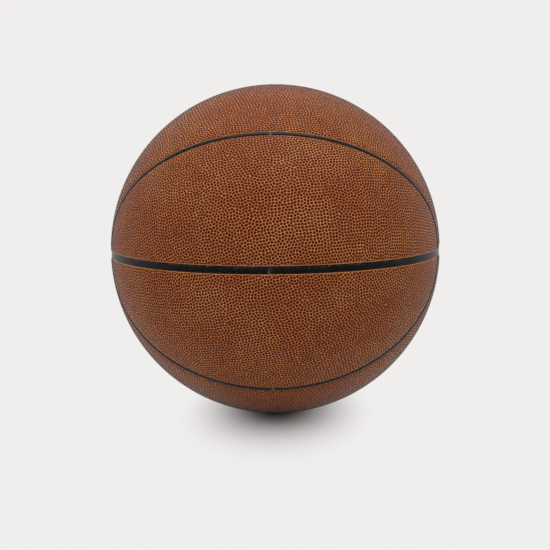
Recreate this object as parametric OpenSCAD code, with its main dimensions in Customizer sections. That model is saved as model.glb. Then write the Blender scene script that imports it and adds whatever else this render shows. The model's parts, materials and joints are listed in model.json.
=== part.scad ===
// Inflated ball for court games. Eight pebbled cover panels and their soft backings lie
// between black rubber seam strips on a rubber carcass, over a thread winding and an air
// bladder with its valve. The origin is the centre of the ball. The wide seam lies level
// in the plane of zero height, the narrow upright seam runs over the top in the plane
// across X, one loop seam faces the front (-Y), and the other loop and the valve face the back.

/* [Ball] */
// Diameter over the cover panels
ball_d = 240; // [180:1:260]
// Thickness of a cover panel
cover_t = 1.4; // [1:0.1:2]
// Thickness of the soft backing under a panel
backing_t = 1; // [0.6:0.1:2]
// Thickness of the rubber carcass
carcass_t = 1.1; // [0.8:0.1:2]
// Thickness of the thread winding
winding_t = 0.6; // [0.4:0.1:1.5]
// Thickness of the air bladder
bladder_t = 0.7; // [0.5:0.1:1.5]
// Bond line between two layers
bond_gap = 0.05; // [0.02:0.01:0.1]

/* [Seams] */
// Width of the wide level seam
band_w = 5.3; // [3:0.1:8]
// Width of the upright seam and the loop seams
seam_w = 3.1; // [2:0.1:5]
// Depth of the seam strips below the cover
seam_recess = 0.5; // [0.2:0.1:1]
// Bond line between a seam strip and its neighbours
edge_gap = 0.05; // [0.02:0.01:0.1]
// Angle at the ball's centre from the front to the top of a loop
loop_rise = 45.7; // [40:0.1:50]
// Distance over the cover from the side of a loop to the middle of the upright seam
loop_stop = 29.3; // [18:0.1:34]
// Fullness of a loop's ends, where 2 is an ellipse
loop_fullness = 3.5; // [2.5:0.1:5]

/* [Valve] */
// Angle of the valve above the wide seam
valve_angle = 23; // [15:1:30]
// Radius of the housing's neck, which shows in the cover
neck_r = 4.6; // [4:0.1:6]
// Radius of the housing's barrel inside the bladder
barrel_r = 6; // [5.5:0.1:8]
// Length of the barrel below its flange
barrel_l = 14; // [12:0.5:20]
// Radius of the housing's flange
flange_r = 15; // [12:0.5:20]
// Thickness of the housing's flange
flange_t = 1.2; // [0.8:0.1:2]
// Depth of the housing's mouth below the cover
mouth_recess = 0.3; // [0.1:0.1:1]
// Thickness of the lip that closes the barrel's inner end
lip_t = 1.2; // [0.8:0.1:3]
// Radius of the plug's head
head_r = 3.4; // [3.2:0.1:3.8]
// Thickness of the plug's head
head_t = 1; // [0.6:0.1:2]
// Radius of the plug's shank
shank_r = 2.6; // [2.2:0.1:2.9]
// Running clearance round the plug
plug_gap = 0.05; // [0.02:0.01:0.1]
// Radius of the needle hole in the plug
needle_r = 1.25; // [1:0.05:1.5]
// Rubber left below the needle hole, which seals it
seal_t = 4; // [2:0.5:6]
// Radius of the air hole through the lip
air_hole_r = 1.5; // [1:0.1:2]
// Radius of the reinforcing patch round the valve
patch_r = 22; // [18:0.5:30]
// Thickness of the reinforcing patch
patch_t = 0.8; // [0.5:0.1:1.5]
// Radius of the balance weight opposite the valve
weight_r = 17; // [10:0.5:25]
// Thickness of the balance weight
weight_t = 1.6; // [1:0.1:3]

/* [Hidden] */
$fn = 96;

// Outer radius of each layer, from the cover inwards
cover_r = ball_d / 2;
backing_r = cover_r - cover_t - bond_gap;
carcass_r = backing_r - backing_t - bond_gap;
winding_r = carcass_r - carcass_t - bond_gap;
bladder_r = winding_r - winding_t - bond_gap;
patch_top = bladder_r - bladder_t - bond_gap;
flange_top = patch_top - patch_t - bond_gap;
weight_top = patch_top;

// Outer and inner radius of the seam strips, which stand on the carcass
strip_r = cover_r - seam_recess;
strip_foot = carcass_r + bond_gap;

// Half widths of the seam gaps between the panels
band_half = band_w / 2;
seam_half = seam_w / 2;
band_edge = band_half + edge_gap;
seam_edge = seam_half + edge_gap;

// Valve heights along its axis, from the ball's centre
mouth_z = cover_r - mouth_recess;
barrel_z = flange_top - flange_t - barrel_l;
seat_z = mouth_z - head_t - plug_gap;
shank_z = barrel_z + lip_t + plug_gap;
needle_z = shank_z + seal_t;

// Overrun of every cutting shape
over = ball_d / 4;
reach_r = cover_r + over;

// Half and a quarter of a full turn
turn = 180;
quarter = turn / 2;

// A loop is a superellipse on a flat sheet before the ball, cast onto it from the centre.
// Its half height and its half width are tangents of the angles at the centre.
loop_reach = quarter - loop_stop / cover_r * turn / PI;
rise_tan = tan(loop_rise);
flat_share = rise_tan / tan(loop_reach);
// Step along a loop's long sides and, finer, round its two ends
long_step = 4;
end_step = 1.5;
// Half of the turn that counts as an end
end_span = 24;
loop_steps = [
    for (side = [0, 1]) each concat(
        [for (a = [end_span - quarter : long_step : quarter - end_span - end_step]) a + turn * side],
        [for (a = [quarter - end_span : end_step : quarter + end_span - end_step]) a + turn * side]
    )
];
// Half of the step that the loop's direction of travel is taken over
probe = 0.25;

function unit(v) = v / norm(v);
function loop_bearing(a) = atan2(rise_tan * cos(a), sin(a));
function loop_width(b) =
    pow(pow(abs(sin(b)), loop_fullness) + pow(flat_share * abs(cos(b)), loop_fullness), 1 / loop_fullness);
function loop_swing(b) = atan(rise_tan / loop_width(b));
function spoke(b, s) = [sin(s) * cos(b), -cos(s), sin(s) * sin(b)];
function loop_dir(a) = let (b = loop_bearing(a)) spoke(b, loop_swing(b));
function loop_side(a) = unit(cross(loop_dir(a), loop_dir(a + probe) - loop_dir(a - probe)));
function loop_point(a, shift) =
    let (angle = shift / cover_r * turn / PI)
    (loop_dir(a) * cos(angle) + loop_side(a) * sin(angle)) * reach_r;

// Cone from the ball's centre over the front loop, moved outwards by shift at the cover
module loop_cone(shift) {
    count = len(loop_steps);
    rim = [for (a = loop_steps) loop_point(a, shift)];
    points = concat([[0, 0, 0], [0, -reach_r, 0]], rim);
    sides = [for (i = [0 : count - 1]) [0, (i + 1) % count + 2, i + 2]];
    cap = [for (i = [0 : count - 1]) [1, i + 2, (i + 1) % count + 2]];
    polyhedron(points = points, faces = concat(sides, cap));
}

// Hollow ball between two radii
module shell(outer_r, inner_r) {
    difference() {
        sphere(r = outer_r);
        sphere(r = inner_r);
    }
}

// Block above the wide seam, from a height upwards
module above(height) {
    translate([-reach_r, -reach_r, height]) cube([2 * reach_r, 2 * reach_r, reach_r]);
}

// Block in front of the upright seam, from a distance forwards
module before(distance) {
    translate([-reach_r, -reach_r - distance, -reach_r]) cube([2 * reach_r, reach_r, 2 * reach_r]);
}

// Half of the area inside the front loop, above the wide seam
module inner_piece(outer_r, inner_r) {
    intersection() {
        shell(outer_r, inner_r);
        loop_cone(-seam_edge);
        above(band_edge);
    }
}

// Half of the area between the front loop and the upright seam, above the wide seam
module outer_piece(outer_r, inner_r) {
    difference() {
        intersection() {
            shell(outer_r, inner_r);
            above(band_edge);
            before(seam_edge);
        }
        loop_cone(seam_edge);
    }
}

// Half of the front loop's strip, above the wide seam
module loop_strip() {
    color("#202124")
    difference() {
        intersection() {
            shell(strip_r, strip_foot);
            loop_cone(seam_half);
            above(band_edge);
        }
        loop_cone(-seam_half);
    }
}

// Level ring of a seam strip
module ring(width) {
    intersection() {
        shell(strip_r, strip_foot);
        translate([0, 0, -width / 2]) cylinder(r = reach_r, h = width);
    }
}

// Half of the upright seam's strip, above the wide seam
module upright_strip() {
    color("#202124")
    intersection() {
        rotate([quarter, 0, 0]) ring(seam_w);
        above(band_edge);
    }
}

module flip_back() {
    mirror([0, 1, 0]) children();
}

module flip_down() {
    mirror([0, 0, 1]) children();
}

// Local +Z becomes the valve's axis
module at_valve() {
    rotate([valve_angle - quarter, 0, 0]) children();
}

// Round hole or post along the valve's axis, through every layer
module valve_core(r) {
    at_valve() translate([0, 0, barrel_z]) cylinder(r = r, h = reach_r - barrel_z);
}

module inner_panel() {
    color("#8d5638") inner_piece(cover_r, cover_r - cover_t);
}

module outer_panel() {
    color("#96603f") outer_piece(cover_r, cover_r - cover_t);
}

module inner_backing() {
    color("#b9ab90") inner_piece(backing_r, backing_r - backing_t);
}

module outer_backing() {
    color("#b9ab90") outer_piece(backing_r, backing_r - backing_t);
}

module valved() {
    difference() {
        children();
        valve_core(neck_r + edge_gap);
    }
}

module band_strip() {
    color("#202124") ring(band_w);
}

module carcass() {
    color("#3a3532") valved() shell(carcass_r, carcass_r - carcass_t);
}

module thread_winding() {
    color("#e4e0d4") valved() shell(winding_r, winding_r - winding_t);
}

module bladder() {
    color("#2b2b2d") valved() shell(bladder_r, bladder_r - bladder_t);
}

module valve_housing() {
    color("#1b1b1d")
    difference() {
        union() {
            intersection() {
                shell(flange_top, flange_top - flange_t);
                at_valve() cylinder(r = flange_r, h = reach_r);
            }
            at_valve() translate([0, 0, barrel_z]) cylinder(r = barrel_r, h = barrel_l);
            at_valve() translate([0, 0, barrel_z]) cylinder(r = neck_r, h = mouth_z - barrel_z);
        }
        at_valve() translate([0, 0, seat_z]) cylinder(r = head_r + plug_gap, h = over);
        at_valve() translate([0, 0, barrel_z + lip_t]) cylinder(r = shank_r + plug_gap, h = over);
        at_valve() translate([0, 0, barrel_z - over]) cylinder(r = air_hole_r, h = 2 * over);
    }
}

module valve_plug() {
    color("#2f2f31")
    at_valve()
    difference() {
        union() {
            translate([0, 0, seat_z + plug_gap]) cylinder(r = head_r, h = head_t);
            translate([0, 0, shank_z]) cylinder(r = shank_r, h = seat_z + plug_gap - shank_z);
        }
        translate([0, 0, needle_z]) cylinder(r = needle_r, h = over);
    }
}

module valve_patch() {
    color("#3b3b3e")
    difference() {
        intersection() {
            shell(patch_top, patch_top - patch_t);
            at_valve() cylinder(r = patch_r, h = reach_r);
        }
        valve_core(neck_r + edge_gap);
    }
}

module balance_weight() {
    color("#4a4a4d")
    mirror([0, 1, 0])
    mirror([0, 0, 1])
    intersection() {
        shell(weight_top, weight_top - weight_t);
        at_valve() cylinder(r = weight_r, h = reach_r);
    }
}

inner_panel();  // front_upper_panel
flip_down() inner_panel();  // front_lower_panel
valved() flip_back() inner_panel();  // back_upper_panel
flip_down() flip_back() inner_panel();  // back_lower_panel
outer_panel();  // front_crown_panel
flip_down() outer_panel();  // front_base_panel
flip_back() outer_panel();  // back_crown_panel
flip_down() flip_back() outer_panel();  // back_base_panel
inner_backing();  // front_upper_backing
flip_down() inner_backing();  // front_lower_backing
valved() flip_back() inner_backing();  // back_upper_backing
flip_down() flip_back() inner_backing();  // back_lower_backing
outer_backing();  // front_crown_backing
flip_down() outer_backing();  // front_base_backing
flip_back() outer_backing();  // back_crown_backing
flip_down() flip_back() outer_backing();  // back_base_backing
band_strip();
upright_strip();  // upright_upper_strip
flip_down() upright_strip();  // upright_lower_strip
loop_strip();  // front_loop_upper_strip
flip_down() loop_strip();  // front_loop_lower_strip
flip_back() loop_strip();  // back_loop_upper_strip
flip_down() flip_back() loop_strip();  // back_loop_lower_strip
carcass();
thread_winding();
bladder();
valve_housing();
valve_plug();
valve_patch();
balance_weight();
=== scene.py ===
"""Looks of an eight-panel basketball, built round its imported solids.

The cover panels are pebbled shells on a triangular lattice, the seam strips and the valve are profiles
carried along paths, and the layers inside are worked out in the same ways. Lengths are in metres.
"""
import json
import math

import bpy
import numpy as np
from mathutils import Matrix, Vector
from mathutils.geometry import delaunay_2d_cdt


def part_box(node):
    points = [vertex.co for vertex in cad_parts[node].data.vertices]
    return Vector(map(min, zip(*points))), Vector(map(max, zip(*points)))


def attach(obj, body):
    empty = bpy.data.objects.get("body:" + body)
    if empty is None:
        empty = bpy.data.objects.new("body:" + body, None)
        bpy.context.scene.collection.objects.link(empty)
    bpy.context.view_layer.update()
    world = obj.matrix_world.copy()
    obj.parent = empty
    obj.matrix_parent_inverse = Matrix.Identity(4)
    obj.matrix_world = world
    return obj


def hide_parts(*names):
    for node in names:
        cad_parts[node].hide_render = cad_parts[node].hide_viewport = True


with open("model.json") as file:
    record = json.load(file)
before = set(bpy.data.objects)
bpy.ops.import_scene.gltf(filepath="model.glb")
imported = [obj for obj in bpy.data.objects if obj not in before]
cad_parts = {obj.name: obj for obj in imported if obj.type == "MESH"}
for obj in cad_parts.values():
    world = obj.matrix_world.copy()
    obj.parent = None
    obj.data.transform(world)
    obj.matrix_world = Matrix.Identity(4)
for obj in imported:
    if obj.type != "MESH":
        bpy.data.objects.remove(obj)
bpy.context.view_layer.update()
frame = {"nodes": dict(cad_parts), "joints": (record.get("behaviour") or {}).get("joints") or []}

bl_info = {
    "name": "Basketball looks",
    "version": (1, 0, 0),
    "blender": (4, 5, 0),
    "location": "View3D > Sidebar > Ball",
    "description": "Dresses the packed solids of a basketball",
    "category": "Object",
}

MM = 0.001
ROOT3 = math.sqrt(3)
FINE = 4                      # lattice steps from one pebble to the next
SHEET_RISE = 0.056            # half height of the flat sheet that a panel is cut from
INNER_STEP = 3.4 * MM         # distance between the corners of a panel's inner face
EDGE_BARE = 0.15 * MM         # width of the smooth rim of a panel
EDGE_FADE = 1.1 * MM          # width beyond it over which the pebbles rise to their full height
LEAST_DOME = 0.78             # height of the lowest pebble as a share of the full height
PEBBLE_SEED = 100             # first seed of the panels' pebbles
STRIP_SEED = 900              # first seed of the strips' wear
STRIP_CORNERS = 19            # corners across the top of a strip
THREAD_CORNERS = 5            # corners round the thread
HOLE_R = 4.65 * MM            # radius of the holes round the valve's neck
THREAD_HOLE_R = 5.3 * MM      # radius that the thread keeps clear round the valve
FLANGE_DOME_R = 114.1 * MM    # distance from the ball's centre to the outer face of the valve's flange
FLANGE_T = 1.2 * MM           # thickness of the flange
LIP_T = 1.2 * MM              # thickness of the lip under the plug
HEAD_T = 1 * MM               # thickness of the plug's head
PLUG_GAP = 0.05 * MM          # clearance round the plug


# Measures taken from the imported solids

def node_points(node):
    """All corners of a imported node, one row each."""
    mesh = frame["nodes"][node].data
    flat = np.empty(3 * len(mesh.vertices))
    mesh.vertices.foreach_get("co", flat)
    return flat.reshape(-1, 3)


def layer(node):
    """Outer and inner distance of a packed shell from the ball's centre."""
    reach = np.linalg.norm(node_points(node), axis=1)
    return float(reach.max()), float(reach.min())


COVER_R, COVER_IN = layer("front_upper_panel")
BACKING_R, BACKING_IN = layer("front_upper_backing")
STRIP_R, STRIP_IN = layer("band_strip")
WINDING_R, WINDING_IN = layer("thread_winding")
BLADDER_R, BLADDER_IN = layer("bladder")
BAND_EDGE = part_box("front_upper_panel")[0].z        # distance of a panel from the middle of the level seam
SEAM_EDGE = -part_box("front_crown_panel")[1].y       # distance of a panel from the middle of a narrow seam
BAND_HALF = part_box("band_strip")[1].z               # half width of the wide strip
SEAM_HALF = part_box("upright_upper_strip")[1].y      # half width of a narrow strip
VALVE_AXIS = np.array(frame["joints"][0]["axis"], float)

# Each panel lies inside a loop or outside it, in front or behind (1 or -1), and above or below (1 or -1)
LEATHER = {
    "front_upper_panel": ("inner", 1, 1), "front_lower_panel": ("inner", 1, -1),
    "back_upper_panel": ("inner", -1, 1), "back_lower_panel": ("inner", -1, -1),
    "front_crown_panel": ("outer", 1, 1), "front_base_panel": ("outer", 1, -1),
    "back_crown_panel": ("outer", -1, 1), "back_base_panel": ("outer", -1, -1),
}
LATTICE_TURNS = [11, -17, 23, -8, 14, -21, 7, -13]    # degrees by which each panel's lattice is turned

STRIPS = ["band_strip", "upright_upper_strip", "upright_lower_strip", "front_loop_upper_strip",
          "front_loop_lower_strip", "back_loop_upper_strip", "back_loop_lower_strip"]


# Sizes and colours that a user would change

def length(name, description, millimetres):
    """Length property. Its default is written in millimetres."""
    return bpy.props.FloatProperty(name=name, description=description, default=millimetres * MM,
                                   unit="LENGTH", precision=5)


def share(name, description, default, top=1.0):
    """Property for a share of a whole."""
    return bpy.props.FloatProperty(name=name, description=description, default=default, min=0, max=top)


def angle(name, description, degrees):
    """Angle property. Its default is written in degrees."""
    return bpy.props.FloatProperty(name=name, description=description, default=math.radians(degrees),
                                   subtype="ANGLE")


def colour(name, description, red, green, blue):
    """Colour property. Its default is written in the screen's numbers from 0 to 255."""
    screen = np.array([red, green, blue]) / 255
    plain = np.where(screen > 0.04045, ((screen + 0.055) / 1.055) ** 2.4, screen / 12.92)
    return bpy.props.FloatVectorProperty(name=name, description=description, default=tuple(plain),
                                         subtype="COLOR", size=3, min=0, max=1)


class BallCover(bpy.types.PropertyGroup):
    """Sizes and colours of the leather panels"""
    pitch: length("Pebble pitch", "Distance from one pebble to the next", 2.29)
    height: length("Pebble height", "Height of a pebble above the leather between pebbles", 0.3)
    dome: share("Pebble width", "Width of a pebble's foot as a share of its cell", 0.94)
    relax: bpy.props.IntProperty(name="Evenness", default=12, min=0, max=80,
                                 description="Rounds in which crowded pebbles softly push each other apart")
    roll_width: length("Edge roll width", "Width over which a panel rolls down to its seam", 3.4)
    roll_depth: length("Edge roll depth", "Depth to which a panel rolls down at its seam", 0.72)
    net: colour("Leather", "Colour of the leather between the pebbles", 201, 115, 60)
    pale: colour("Pale leather", "Colour of worn and lighter patches between the pebbles", 216, 139, 80)
    dot: colour("Pebble tops", "Colour of the printed pebble tops", 72, 14, 2)
    dot_size: share("Printed spot", "Width of the dark spot on a pebble as a share of its cell", 0.86)
    margin: length("Plain margin", "Width of the unprinted margin along a panel's edges", 0.45)


class BallSeams(bpy.types.PropertyGroup):
    """Course of the seams, and sizes and colours of their strips"""
    rise: angle("Loop rise", "Angle at the ball's centre from the front to the top of a loop", 45.7)
    stop: length("Loop stop", "Distance from the side of a loop to the middle of the upright seam", 29.3)
    fullness: bpy.props.FloatProperty(name="Loop fullness", default=3.5, min=2, max=6,
                                      description="Fullness of a loop's ends, where 2 is an ellipse")
    dish: length("Dish", "Depth of the shallow dish along the wide strip", 0.16)
    crown: length("Crown", "Height of the low crown along the narrow strips", 0.5)
    groove: length("Edge groove", "Depth of the groove along each edge of the wide strip", 0.24)
    sink: length("Lip drop", "Depth of a strip's edges below its solid", 0.06)
    joint: length("Joint width", "Width of the butt joint in a strip", 0.5)
    rubber: colour("Seam rubber", "Colour of the seam rubber", 9, 9, 8)
    # This colour also carries painted light: the even lift on the narrow strips is painted sheen, and the
    # dashes along the wide strip's upper edge are partly a painted highlight
    dust_and_sheen: colour("Seam dust", "Colour of dust and scuffs on the seam rubber", 124, 122, 116)


class BallInside(bpy.types.PropertyGroup):
    """Sizes and colours of the valve and of the layers under the cover"""
    foam: colour("Backing foam", "Colour of the soft backing under the leather", 188, 174, 146)
    foam_step: length("Backing grid", "Distance between the corners of a backing's faces", 4)
    thread: colour("Thread", "Colour of the winding thread", 226, 221, 206)
    thread_d: length("Thread thickness", "Thickness of the winding thread", 0.28)
    turns: bpy.props.IntProperty(name="Turns", default=150, min=10, max=400,
                                 description="Turns of thread round the ball")
    rib: length("Bladder rib", "Height of the ribs moulded on the bladder", 0.12)
    rim: length("Valve rim", "Rounding of the valve housing's mouth", 0.35)
    bladder: colour("Bladder", "Colour of the bladder rubber", 40, 40, 42)
    carcass: colour("Carcass", "Colour of the carcass rubber", 58, 53, 50)
    valve: colour("Valve rubber", "Colour of the valve housing", 26, 26, 28)
    plug: colour("Plug rubber", "Colour of the valve plug", 44, 44, 46)
    patch: colour("Patch", "Colour of the reinforcing patch", 62, 62, 64)
    weight: colour("Weight", "Colour of the balance weight", 74, 74, 78)


class BallStage(bpy.types.PropertyGroup):
    """Camera and backdrop"""
    lens: bpy.props.FloatProperty(name="Lens", description="Focal length in millimetres", default=72.45)
    distance: length("Camera distance", "Distance from the ball's centre to the camera", 816)
    azimuth: angle("Camera azimuth", "Turn of the camera to the right of the front", 1.7)
    elevation: angle("Camera elevation", "Height of the camera above the level", 6.6)
    lean: angle("Camera lean", "Lean of the camera's top to the right", 0.575)
    backdrop: colour("Backdrop", "Colour behind and under the ball", 240, 238, 237)


# Meshes

def unit(rows):
    """Rows over their lengths."""
    return rows / np.linalg.norm(rows, axis=-1, keepdims=True)


def square_to(axis, rows):
    """Part of each row that is square to an axis."""
    return rows - np.outer(rows @ axis, axis)


def walked(rows):
    """Distance walked along a line of points, from 0 at its first."""
    return np.concatenate([[0], np.cumsum(np.linalg.norm(np.diff(rows, axis=0), axis=1))])


def halved(a, b, c, d):
    """Two triangles for each four-sided face, whose corner numbers are a, b, c and d in turn."""
    return np.concatenate([np.stack([a, b, c], -1).reshape(-1, 3), np.stack([a, c, d], -1).reshape(-1, 3)])


def used_only(triangles):
    """Numbers of the corners that triangles use, and the triangles counted over those corners."""
    used, triangles = np.unique(triangles, return_inverse=True)
    return used, triangles.reshape(-1, 3)


def welded(points, triangles, cells=1e8):
    """Numbers of the corners that are kept when all in one cell of an even grid become one, and the triangles
    over those, without the ones that this empties. The grid has the given number of cells to one unit."""
    key = np.round(points * cells).astype(np.int64)
    _, first, same = np.unique(key, axis=0, return_index=True, return_inverse=True)
    triangles = same.reshape(-1)[triangles]
    a, b, c = triangles.T
    return first, triangles[(a != b) & (b != c) & (c != a)]


def cover_angle(distance):
    """Angle at the ball's centre of a distance over the cover."""
    return distance / COVER_R


def make_piece(name, points, triangles, maps=None, sharp=50):
    """Mesh object of whole arrays of corners and triangles. Each named map holds two numbers for each
    corner, or for each corner of each triangle. Edges that bend by more than the sharp angle, in degrees,
    stay hard."""
    mesh = bpy.data.meshes.new(name)
    mesh.vertices.add(len(points))
    mesh.vertices.foreach_set("co", np.ascontiguousarray(points, np.float32).ravel())
    mesh.loops.add(3 * len(triangles))
    mesh.loops.foreach_set("vertex_index", np.ascontiguousarray(triangles, np.int32).ravel())
    mesh.polygons.add(len(triangles))
    mesh.polygons.foreach_set("loop_start", 3 * np.arange(len(triangles), dtype=np.int32))
    for map_name, values in (maps or {}).items():
        sheet = mesh.uv_layers.new(name=map_name)
        corners = values if len(values) == triangles.size else values[triangles.ravel()]
        sheet.data.foreach_set("uv", np.ascontiguousarray(corners, np.float32).ravel())
    mesh.update(calc_edges=True)
    mesh.validate()
    mesh.shade_smooth()
    mesh.set_sharp_from_angle(angle=math.radians(sharp))
    piece = bpy.data.objects.new(name, mesh)
    bpy.context.scene.collection.objects.link(piece)
    return piece


def place(piece, body, nodes, finish):
    """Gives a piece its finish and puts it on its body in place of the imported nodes."""
    piece.data.materials.append(finish)
    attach(piece, body)
    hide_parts(*nodes)


def loop_rows(turn, seams):
    """Directions of the front loop seam at an array of turns from its top.

    The loop is a superellipse on a flat sheet before the ball: with b the bearing round the front, the
    swing from the front has the tangent tan(rise) / (|sin b|^n + (f |cos b|)^n)^(1/n), where f is
    tan(rise) / tan(reach) and n the fullness."""
    reach = math.pi / 2 - cover_angle(seams.stop)
    high = math.tan(seams.rise)
    flat = high / math.tan(reach)
    bearing = np.arctan2(high * np.cos(turn), np.sin(turn))
    full = seams.fullness
    wide = (np.abs(np.sin(bearing)) ** full + np.abs(flat * np.cos(bearing)) ** full) ** (1 / full)
    swing = np.arctan(high / wide)
    return np.stack([np.sin(swing) * np.cos(bearing), -np.cos(swing), np.sin(swing) * np.sin(bearing)], 1)


def loop_line(seams, count=6000):
    """Even steps along the loop's upper half and a little past its ends, with the outward side of each."""
    turn = np.linspace(-math.radians(97), math.radians(97), count)
    line = loop_rows(turn, seams)
    walk = walked(line)
    even = np.interp(np.linspace(0, walk[-1], count), walk, turn)
    line = loop_rows(even, seams)
    side = unit(np.cross(line, loop_rows(even + 1e-4, seams) - loop_rows(even - 1e-4, seams)))
    return line, side


def nearest(rows, line, block=2000):
    """Index of the nearest point of a line for each row, looked for in blocks of rows."""
    coarse = line[::8]
    found = np.empty(len(rows), int)
    for start in range(0, len(rows), block):
        part = rows[start:start + block]
        first = np.argmax(part @ coarse.T, axis=1) * 8
        near = np.clip(first[:, None] + np.arange(-8, 9), 0, len(line) - 1)
        best = np.argmax(np.einsum("ij,ikj->ik", part, line[near]), axis=1)
        found[start:start + block] = near[np.arange(len(part)), best]
    return found


def edge_distances(rows, kind, valve, line, side):
    """Distance over the cover from each edge of a front upper panel, positive inside, one column an edge."""
    columns = [COVER_R * (np.arcsin(rows[:, 2]) - math.asin(BAND_EDGE / COVER_R))]
    at = nearest(rows, line)
    past = np.einsum("ij,ij->i", rows, side[at])
    gap = COVER_R * np.arccos(np.clip(np.einsum("ij,ij->i", rows, line[at]), -1, 1)) * np.sign(past)
    if kind == "inner":
        columns.append(-gap - SEAM_EDGE)
    else:
        columns.append(gap - SEAM_EDGE)
        columns.append(COVER_R * (np.arcsin(-rows[:, 1]) - math.asin(SEAM_EDGE / COVER_R)))
    if valve is not None:
        columns.append(COVER_R * (np.arccos(np.clip(rows @ valve[0], -1, 1)) - math.asin(valve[1] / COVER_R)))
    return np.stack(columns, 1), at


def loop_edge(kind, line, side):
    """Edge of a panel along the loop: the seam's middle line, swung toward the panel by SEAM_EDGE."""
    swing = (-1 if kind == "inner" else 1) * cover_angle(SEAM_EDGE)
    return line * math.cos(swing) + side * math.sin(swing)


def to_edges(rows, gaps, at, kind, valve, line, side):
    """Moves rows that lie outside a panel onto the edges they are past."""
    out = rows.copy()
    past = gaps[:, 1] <= 0
    out[past] = loop_edge(kind, line[at[past]], side[at[past]])
    if kind == "outer":
        past = gaps[:, 2] <= 0
        out[past] = on_plane(out[past], 1, -SEAM_EDGE / COVER_R)
    if valve is not None:
        past = gaps[:, -1] <= 0
        across = unit(square_to(valve[0], out[past]))
        turn = math.asin(valve[1] / COVER_R)
        out[past] = valve[0] * math.cos(turn) + across * math.sin(turn)
    past = gaps[:, 0] <= 0
    out[past] = on_plane(out[past], 2, BAND_EDGE / COVER_R)
    return out


def on_plane(rows, axis, height):
    """Slides directions over the ball onto a plane square to an axis."""
    flat = rows.copy()
    flat[:, axis] = 0
    flat = unit(flat) * math.sqrt(1 - height * height)
    flat[:, axis] = height
    return flat


def corners_of(kind, line, side):
    """Directions of a front upper panel's corners."""
    rim = loop_edge(kind, line, side)
    cut = np.argmin(np.abs(rim[:, 2] - BAND_EDGE / COVER_R) + (rim[:, 0] < 0) * 9)
    found = [on_plane(rim[cut:cut + 1], 2, BAND_EDGE / COVER_R)[0]]
    if kind == "outer":
        low, back = BAND_EDGE / COVER_R, SEAM_EDGE / COVER_R
        found.append(np.array([math.sqrt(1 - low * low - back * back), -back, low]))
    return [row * np.array([mirror, 1, 1]) for row in found for mirror in (1, -1)]


def tilt_frame(kind, seams):
    """Front, right and up of a panel's own middle circle, as columns."""
    middle = seams.rise / 2 if kind == "inner" else (seams.rise + math.pi / 2) / 2
    front = np.array([0, -math.cos(middle), math.sin(middle)])
    right = np.array([1.0, 0, 0])
    return np.stack([front, right, np.cross(front, right)], 1)


def on_ball(flat, columns):
    """Directions of flat places: an angle along the middle circle and an angle off it."""
    along, off = flat[:, 0], flat[:, 1]
    local = np.stack([np.cos(off) * np.cos(along), np.cos(off) * np.sin(along), np.sin(off)], 1)
    return local @ columns.T


def off_ball(rows, columns):
    """Flat places of directions, the other way round."""
    local = rows @ columns
    return np.stack([np.arctan2(local[:, 1], local[:, 0]), np.arcsin(np.clip(local[:, 2], -1, 1))], 1)


def lattice(step, across, up):
    """Corners and triangles of an even triangular lattice. Row j lies at j sqrt(3)/2 steps and is shifted
    by half a step where j is odd."""
    columns, rows = int(2 * across / step) + 3, int(2 * up / (step * ROOT3 / 2)) + 3
    j, c = np.meshgrid(np.arange(rows), np.arange(columns), indexing="ij")
    flat = np.stack([(c + 0.5 * (j & 1)) * step - across, j * step * ROOT3 / 2 - up], -1)
    a = j[:-1, :-1] * columns + c[:-1, :-1]
    b, below, beside = a + 1, a + columns, a + columns + 1
    odd = (j[:-1, :-1] & 1).astype(bool)
    one = np.where(odd[..., None], np.stack([a, beside, below], -1), np.stack([a, b, below], -1))
    two = np.where(odd[..., None], np.stack([a, b, beside], -1), np.stack([b, beside, below], -1))
    triangles = np.concatenate([one.reshape(-1, 3), two.reshape(-1, 3)])
    return flat.reshape(-1, 2), triangles


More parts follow.
